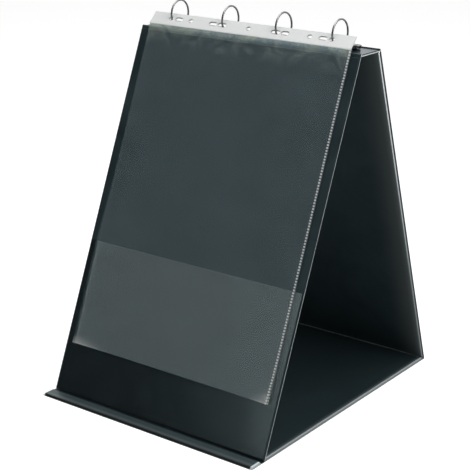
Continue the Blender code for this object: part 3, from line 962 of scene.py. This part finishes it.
def mouth_gape(x, up):
    """How far the half pocket's film stands off near its left end, at a height up the board."""
    weld_width, flat_foot, gape_end = 0.004, 0.05, -0.150
    from_weld = ease(x + HALF_WIDTH - weld_width, width=0.018)
    leftward = 1 - ease(x - gape_end, width=0.085)
    foot = POCKET_FOOT + flat_foot
    rise = ease(up - foot, width=POCKET_MOUTH - foot)
    above_mouth = 1 - ease(up - POCKET_MOUTH, width=0.10)
    return bpy.context.scene.flipchart_sleeves.left_lift * 0.55 * from_weld * leftward * rise * above_mouth


def sleeve_lift(x, up, low, high):
    """How far a sleeve's film stands off the board: wrinkles, slow billows, and curled lower corners."""
    settings = bpy.context.scene.flipchart_sleeves
    from_top, from_foot, from_left = high.y - up, up - low.y, x - low.x
    fade = math.exp(-from_top / settings.wrinkle_reach) * ease(from_top, width=0.004)
    coarse = ripple(x, up, across=42, along=75, layer=2.7)
    fine = ripple(x, up, across=95, along=150, layer=8.1)
    wrinkles = settings.wrinkle_height * fade * max(0.0, 0.75 + (coarse + 0.6 * fine))
    billow = 0.0006 * (1 + ripple(x, up, across=7, along=6, layer=5.0)) * ease(from_top, width=0.05)
    lifted_width, straight_top = 0.075, 0.15
    lower_left = ease(lifted_width - from_left, lifted_width) * ease(from_top - straight_top, width=0.16)
    left_corner = math.exp(-from_left / 0.035)
    right_corner = math.exp(-(high.x - x) / 0.022)
    curl = settings.corner_curl * math.exp(-from_foot / 0.028) * (0.5 * left_corner + right_corner)
    return wrinkles + billow + settings.left_lift * 0.6 * lower_left + curl


def film_bag(name, node, lift, columns, rows, hang_slip=0.0):
    """A flat closed bag of film in place of a frame node, with its middle lifted by a function of place."""
    low, high = local_box(node, FRONT_BOARD)
    size = high - low
    middle = (low.z + high.z) / 2
    bag = add_primitive(
        bpy.ops.mesh.primitive_grid_add, name, x_subdivisions=columns, y_subdivisions=rows, size=1.0
    )
    open_edit(bag)
    stretch_over(low, high, middle)
    close_edit()
    add_wall(bag, size.z)
    for vert in bag.data.vertices:
        x, y, z = vert.co
        from_top = high.y - y
        from_edge = min(x - low.x, high.x - x, y - low.y)
        below_crease = 0.3 + 0.7 * ease(from_top, width=0.01)
        fullness = 0.25 + 0.75 * ease(from_edge, width=0.012) * below_crease
        vert.co.x += hang_slip * (0.35 + 0.65 * from_top / size.y)
        vert.co.z = middle + (z - middle) * fullness + lift(x, y, low, high)
    bag.data.transform(FRONT_BOARD)
    smooth(bag, FILM_EDGE)
    return bag


# Pieces


class FLIPCHART_OT_board_films(bpy.types.Operator):
    """Satin black film and grey board on the five boards."""

    bl_idname = "flipchart.board_films"
    bl_label = "Board films"

    def execute(self, context):
        finishes = {
            "black_film_satin": ("front_face_film", "back_outer_film"),
            "black_film_lip": ("lip_top_film",),
            "black_film_back": ("back_inner_film",),
            "black_film_base": ("base_top_film",),
            "black_film_wall": ("front_rear_film", "spine_top_film", "spine_under_film"),
            "black_film_under": ("base_under_film", "lip_under_film"),
            "grey_board_fibre": ("front_core", "back_core", "spine_core", "base_core", "lip_core"),
        }
        for name, nodes in finishes.items():
            for node in nodes:
                repaint(node, finish(name))
        return {"FINISHED"}


class FLIPCHART_OT_edge_welds(bpy.types.Operator):
    """Welds that close the two films round each board: thin frames along their edges."""

    bl_idname = "flipchart.edge_welds"
    bl_label = "Edge welds"

    def execute(self, context):
        settings = context.scene.flipchart_boards
        for name, body, upper, lower, place in (
            ("front_edge_weld", "front_panel", "front_face_film", "front_rear_film", FRONT_BOARD),
            ("back_edge_weld", "back_panel", "back_outer_film", "back_inner_film", BACK_BOARD),
            ("spine_edge_weld", "spine", "spine_top_film", "spine_under_film", SPINE_BOARD),
            ("base_edge_weld", "base_panel", "base_top_film", "base_under_film", FLAT),
            ("lip_edge_weld", "lip", "lip_top_film", "lip_under_film", FLAT),
        ):
            low, high = local_box(upper, place)
            level = (low.z + local_box(lower, place)[1].z) / 2
            weld = add_primitive(bpy.ops.mesh.primitive_plane_add, name, size=1.0)
            open_edit(weld)
            stretch_over(low, high, level)
            bpy.ops.mesh.inset(thickness=settings.weld_width)
            bpy.ops.mesh.delete(type="FACE")
            close_edit()
            add_wall(weld, settings.weld_thickness)
            weld.data.transform(place)
            # The weld's pale colour is partly cut edge and partly painted highlight
            paint(weld, finish("welded_edge_highlight"))
            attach(weld, body)
        return {"FINISHED"}


def fold_path(start, fold, end, rise):
    """A rounded path over a fold, from one board to the other, in the YZ plane."""
    corners = (start, start + rise, end + rise, end) if rise.length else (start, fold, fold, end)
    steps = 12
    points = []
    for step in range(steps + 1):
        share = step / steps
        rest = 1 - share
        weights = (rest**3, 3 * rest**2 * share, 3 * rest * share**2, share**3)
        point = sum((weight * corner for weight, corner in zip(weights, corners)), Vector((0, 0, 0)))
        points.append((point.y, point.z))
    return points


def fold_film(name, fold, bodies, first, second, thickness, rise, material):
    """The film across one fold, shaped at rest between its two boards."""
    reach = bpy.context.scene.flipchart_boards.fold_reach
    start = fold + first * reach
    end = fold + second * reach
    film = ribbon(name, HALF_WIDTH, fold_path(start, fold, end, rise))
    add_wall(film, thickness)
    recalculate(film)
    smooth(film, CURVED_EDGE)
    paint(film, finish(material))
    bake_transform(film)


class FLIPCHART_OT_fold_films(bpy.types.Operator):
    """Film across the four folds, shaped at rest."""

    bl_idname = "flipchart.fold_films"
    bl_label = "Fold films"

    def execute(self, context):
        settings = context.scene.flipchart_boards
        down, rear, fore = FRONT_DOWN, REARWARD, -REARWARD
        thick, thin = settings.fold_thickness, settings.single_thickness
        front_rise = settings.crest_height * Vector((0, 0.3, 1)).normalized()
        back_rise = settings.crest_height * Vector((0, -0.15, 1)).normalized()
        flat = Vector((0, 0, 0))
        # The grey film across the base's fold is partly strain and partly a painted highlight
        glossy, greyed = "black_film_fold", "black_film_strained_fold_highlight"
        for fold in (
            ("front_fold_film", FRONT_FOLD, ("front_panel", "spine"), down, rear, thick, front_rise, glossy),
            ("back_fold_film", BACK_FOLD, ("spine", "back_panel"), fore, BACK_DOWN, thick, back_rise, glossy),
            ("base_fold_film", BASE_FOLD, ("base_panel", "back_panel"), fore, -BACK_DOWN, thin, flat, greyed),
            ("lip_fold_film", LIP_FOLD, ("lip", "base_panel"), fore, rear, thin, flat, glossy),
        ):
            fold_film(*fold)
        return {"FINISHED"}


class FLIPCHART_OT_half_pocket(bpy.types.Operator):
    """Clear half pocket across the lower front board, gaping a little at its left end."""

    bl_idname = "flipchart.half_pocket"
    bl_label = "Half pocket"

    def execute(self, context):
        pocket = film_bag(
            "half_pocket",
            "front_pocket_film",
            lambda x, up, low, high: mouth_gape(x, up),
            columns=96,
            rows=60,
        )
        paint(pocket, finish("clear_film_pocket"))
        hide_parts("front_pocket_film")
        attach(pocket, "front_panel")
        return {"FINISHED"}


class FLIPCHART_OT_sleeve_pockets(bpy.types.Operator):
    """The two clear pockets, wrinkled under the crease and curled at the lower corners."""

    bl_idname = "flipchart.sleeve_pockets"
    bl_label = "Sleeve pockets"

    def execute(self, context):
        for sleeve, body, share in (
            ("rear_sleeve", "rear_sleeve", 0.35),
            ("front_sleeve", "front_sleeve_pocket", 1.0),
        ):
            node = sleeve + "_pocket"
            pocket = film_bag(
                sleeve + "_film",
                node,
                lambda x, up, low, high: mouth_gape(x, up) + share * sleeve_lift(x, up, low, high),
                columns=150,
                rows=210,
                hang_slip=context.scene.flipchart_sleeves.hang_slip,
            )
            low, high = local_box(node, FRONT_BOARD)
            width, height = high.x - low.x, high.y - low.y
            name = "clear_film_" + sleeve
            paint(pocket, sleeve_film_material(name, width, height, dots=0.5 * share, crinkles=0.17 * share))
            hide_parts(node)
            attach(pocket, body)
            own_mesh(pocket)
        return {"FINISHED"}


def strip_direction(node):
    """Direction up a sleeve's strip, from its crease."""
    points = np.array([vert.co for vert in frame["nodes"][node].data.vertices])[:, 1:]
    main = np.linalg.svd(points - points.mean(axis=0), full_matrices=False)[2][0]
    return Vector((0, *(main if main[1] > 0 else -main)))


class FLIPCHART_OT_sleeve_strips(bpy.types.Operator):
    """Milky punched strips and the welded crease between each strip and its pocket."""

    bl_idname = "flipchart.sleeve_strips"
    bl_label = "Sleeve strips"

    def execute(self, context):
        front_level, rear_level = (
            local_box(sleeve + "_pocket", FRONT_BOARD)[0].z for sleeve in ("front_sleeve", "rear_sleeve")
        )
        rear_crease = CREASE - (front_level - rear_level) * FRONT_OUTWARD
        half_bend, side_gap, thickness = 0.0006, 0.0002, 0.00056
        for sleeve, crease in (("front_sleeve", CREASE), ("rear_sleeve", rear_crease)):
            node = sleeve + "_strip"
            repaint(node, finish("milky_film"))
            up_strip = strip_direction(node)
            path = [crease + reach * up_strip for reach in (0.0024, 0.0012, 0.0005, 0.0)]
            path += [crease + reach * FRONT_DOWN for reach in (0.0005, 0.0012)]
            half_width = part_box(node)[1].x - side_gap
            weld = ribbon(sleeve + "_crease", half_width, [(point.y, point.z) for point in path])
            add_wall(weld, thickness)
            recalculate(weld)
            smooth(weld)
            paint(weld, finish("milky_film"))
            if sleeve == "front_sleeve":
                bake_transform(weld)
            else:
                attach(weld, "rear_sleeve")
        return {"FINISHED"}


def half_ring(name, node, side):
    """Half of a ring: round wire from the joint at the top to its foot in the blade."""
    settings = bpy.context.scene.flipchart_rings
    low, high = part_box(node)
    wire = (high.x - low.x) / 2
    centre = Vector(((low.x + high.x) / 2, RING_CENTRE.y, RING_CENTRE.z))
    radius = high.z - centre.z - wire
    joint = abs((low.y if side > 0 else high.y) - centre.y) / radius
    # The wire's middle ends this far above its node's foot, so that the cut end stays within the node
    foot = low.z - centre.z + wire * 0.93
    sweep = math.pi / 2 + math.asin(min(1.0, -foot / radius)) - joint
    ring = add_primitive(
        bpy.ops.mesh.primitive_circle_add,
        name,
        vertices=settings.wire_sides,
        radius=wire,
        fill_type="NGON",
        location=centre + Matrix.Rotation(-side * joint, 4, "X") @ Vector((0, 0, radius)),
        rotation=(math.pi / 2 - side * joint, 0, 0),
    )
    settle(ring)
    open_edit(ring)
    bpy.ops.mesh.spin(steps=settings.ring_steps, angle=side * sweep, center=centre, axis=(1, 0, 0))
    close_edit()
    recalculate(ring)
    add_bevel(ring, settings.tip_bevel, segments=3, angle=FILM_EDGE)
    smooth(ring, CURVED_EDGE)
    return ring


def copy_across(first, name, first_node, node):
    """A copy of a finished piece, moved from one node's place across the object to another's."""
    copy = linked_copy(name, first.data)
    copy.data.transform(Matrix.Translation((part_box(node)[0].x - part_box(first_node)[0].x, 0, 0)))
    return copy


class FLIPCHART_OT_half_rings(bpy.types.Operator):
    """Eight half rings of plated wire."""

    bl_idname = "flipchart.half_rings"
    bl_label = "Half rings"

    def execute(self, context):
        for rail, side in (("front", -1), ("rear", 1)):
            first_node = rail + "_half_ring_1"
            first = half_ring(rail + "_wire_1", first_node, side)
            paint(first, finish("nickel_steel"))
            for index in range(1, 5):
                node = f"{rail}_half_ring_{index}"
                ring = first if index == 1 else copy_across(first, f"{rail}_wire_{index}", first_node, node)
                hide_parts(node)
                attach(ring, rail + "_rail")
        return {"FINISHED"}


class FLIPCHART_OT_mechanism(bpy.types.Operator):
    """Cover, blades, levers, pins and rivets of the ring mechanism."""

    bl_idname = "flipchart.mechanism"
    bl_label = "Ring mechanism"

    def execute(self, context):
        bevel = context.scene.flipchart_rings.edge_bevel
        for node, name, body, width in (
            ("ring_cover", "cover_plate", "spine", bevel),
            ("left_lever", "left_thumb_lever", "left_lever", bevel),
            ("right_lever", "right_thumb_lever", "right_lever", bevel),
            ("left_rivet", "left_cover_rivet", "spine", 0.0),
            ("right_rivet", "right_cover_rivet", "spine", 0.0),
        ):
            piece = smooth_copy(node, name, width)
            paint(piece, finish("nickel_steel"))
            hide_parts(node)
            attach(piece, body)
        for node in ("front_blade", "rear_blade", "left_lever_pin", "right_lever_pin"):
            repaint(node, finish("nickel_steel"))
        return {"FINISHED"}


# Stage


def stage_material(name, colour, glow):
    """White paper floor: lit by the lamps, and topped up to white where the camera sees it."""
    material, shader = start_material(name)
    light = new_node(shader, "LightPath").outputs
    seen = add_math("MAXIMUM", light["Is Camera Ray"], light["Is Transmission Ray"])
    feed(
        shader,
        Base_Color=colour,
        Roughness=0.9,
        Specular_IOR_Level=0.1,
        Emission_Color=WHITE,
        Emission_Strength=multiply(seen, glow),
    )
    return material


def build_world(scene):
    """White studio behind the object, and a dark one in front of it, where the camera stands."""
    world = bpy.data.worlds.new("studio")
    scene.world = world
    world.use_nodes = True
    background = world.node_tree.nodes["Background"]
    rearward = split_axes(coordinate(background, "Generated"))[1]
    studio = add_range(rearward, -0.35, 0.45, 0.04, 1.0)
    seen = new_node(background, "LightPath").outputs["Is Camera Ray"]
    feed(background, Color=WHITE, Strength=add_math("MAXIMUM", seen, studio))


def soft_box(name, place, target, width, height, radiance):
    """A rectangular soft box that faces a point."""
    lamp = bpy.data.lights.new(name, "AREA")
    lamp.shape = "RECTANGLE"
    lamp.size = width
    lamp.size_y = height
    lamp.energy = radiance * math.pi * width * height
    box = bpy.data.objects.new(name, lamp)
    bpy.context.scene.collection.objects.link(box)
    box.location = place
    box.rotation_euler = (Vector(target) - Vector(place)).to_track_quat("-Z", "Y").to_euler()


def build_camera(scene):
    """Camera at the photograph's viewing angle."""
    settings = scene.flipchart_stage
    data = bpy.data.cameras.new("camera")
    data.sensor_width = 36.0
    data.lens = settings.lens
    camera = bpy.data.objects.new("camera", data)
    scene.collection.objects.link(camera)
    azimuth, elevation = settings.azimuth, settings.elevation
    level = math.cos(elevation)
    forward = Vector((-math.sin(azimuth) * level, math.cos(azimuth) * level, -math.sin(elevation)))
    turn = forward.to_track_quat("-Z", "Y").to_matrix().to_4x4()
    place = Matrix.Translation(Vector(settings.target) - forward * settings.distance)
    camera.matrix_world = place @ turn @ Matrix.Rotation(settings.roll, 4, "Z")
    scene.camera = camera


class FLIPCHART_OT_stage(bpy.types.Operator):
    """White floor, white surroundings, soft boxes and camera."""

    bl_idname = "flipchart.stage"
    bl_label = "Stage"

    def execute(self, context):
        scene = context.scene
        settings = scene.flipchart_stage
        scene.view_settings.view_transform = "Standard"
        floor = add_primitive(
            bpy.ops.mesh.primitive_grid_add, "floor", x_subdivisions=8, y_subdivisions=8, size=14.0
        )
        paint(floor, stage_material("white_floor", colour=(0.55, 0.55, 0.55), glow=0.65))
        build_world(scene)
        middle = (0.0, 0.0, 0.2)
        for name, place, width, height, radiance in (
            ("front_soft_box", (-0.70, -1.87, 0.785), 0.62, 0.89, settings.front_box_radiance),
            ("top_soft_box", (0.0, 0.1, 2.2), 2.2, 1.6, settings.top_box_radiance),
            ("side_soft_box", (1.3, -0.15, 1.4), 1.1, 1.1, settings.side_box_radiance),
        ):
            soft_box(name, place, middle, width, height, radiance)
        build_camera(scene)
        return {"FINISHED"}


class FLIPCHART_PT_pieces(bpy.types.Panel):
    """Settings and building steps of the flip chart."""

    bl_idname = "FLIPCHART_PT_pieces"
    bl_label = "Tabletop flip chart"
    bl_space_type = "VIEW_3D"
    bl_region_type = "UI"
    bl_category = "Flip chart"

    def draw(self, context):
        for name, _ in SETTINGS:
            settings = getattr(context.scene, name)
            box = self.layout.box()
            for value in settings.__annotations__:
                box.prop(settings, value)
        for operator in OPERATORS:
            self.layout.operator(operator.bl_idname)


OPERATORS = (
    FLIPCHART_OT_board_films,
    FLIPCHART_OT_edge_welds,
    FLIPCHART_OT_fold_films,
    FLIPCHART_OT_half_pocket,
    FLIPCHART_OT_sleeve_pockets,
    FLIPCHART_OT_sleeve_strips,
    FLIPCHART_OT_half_rings,
    FLIPCHART_OT_mechanism,
    FLIPCHART_OT_stage,
)
SETTINGS = (
    ("flipchart_boards", BoardSettings),
    ("flipchart_sleeves", SleeveSettings),
    ("flipchart_rings", RingSettings),
    ("flipchart_stage", StageSettings),
)


def register():
    for name, group in SETTINGS:
        bpy.utils.register_class(group)
        setattr(bpy.types.Scene, name, PointerProperty(type=group))
    for operator in OPERATORS:
        bpy.utils.register_class(operator)
    bpy.utils.register_class(FLIPCHART_PT_pieces)


def unregister():
    bpy.utils.unregister_class(FLIPCHART_PT_pieces)
    for operator in reversed(OPERATORS):
        bpy.utils.unregister_class(operator)
    for name, group in reversed(SETTINGS):
        delattr(bpy.types.Scene, name)
        bpy.utils.unregister_class(group)


def main():
    """Build every piece in order."""
    register()
    bpy.ops.flipchart.board_films()
    bpy.ops.flipchart.edge_welds()
    bpy.ops.flipchart.fold_films()
    bpy.ops.flipchart.half_pocket()
    bpy.ops.flipchart.sleeve_pockets()
    bpy.ops.flipchart.sleeve_strips()
    bpy.ops.flipchart.half_rings()
    bpy.ops.flipchart.mechanism()
    bpy.ops.flipchart.stage()
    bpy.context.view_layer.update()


if __name__ == "__main__":
    main()
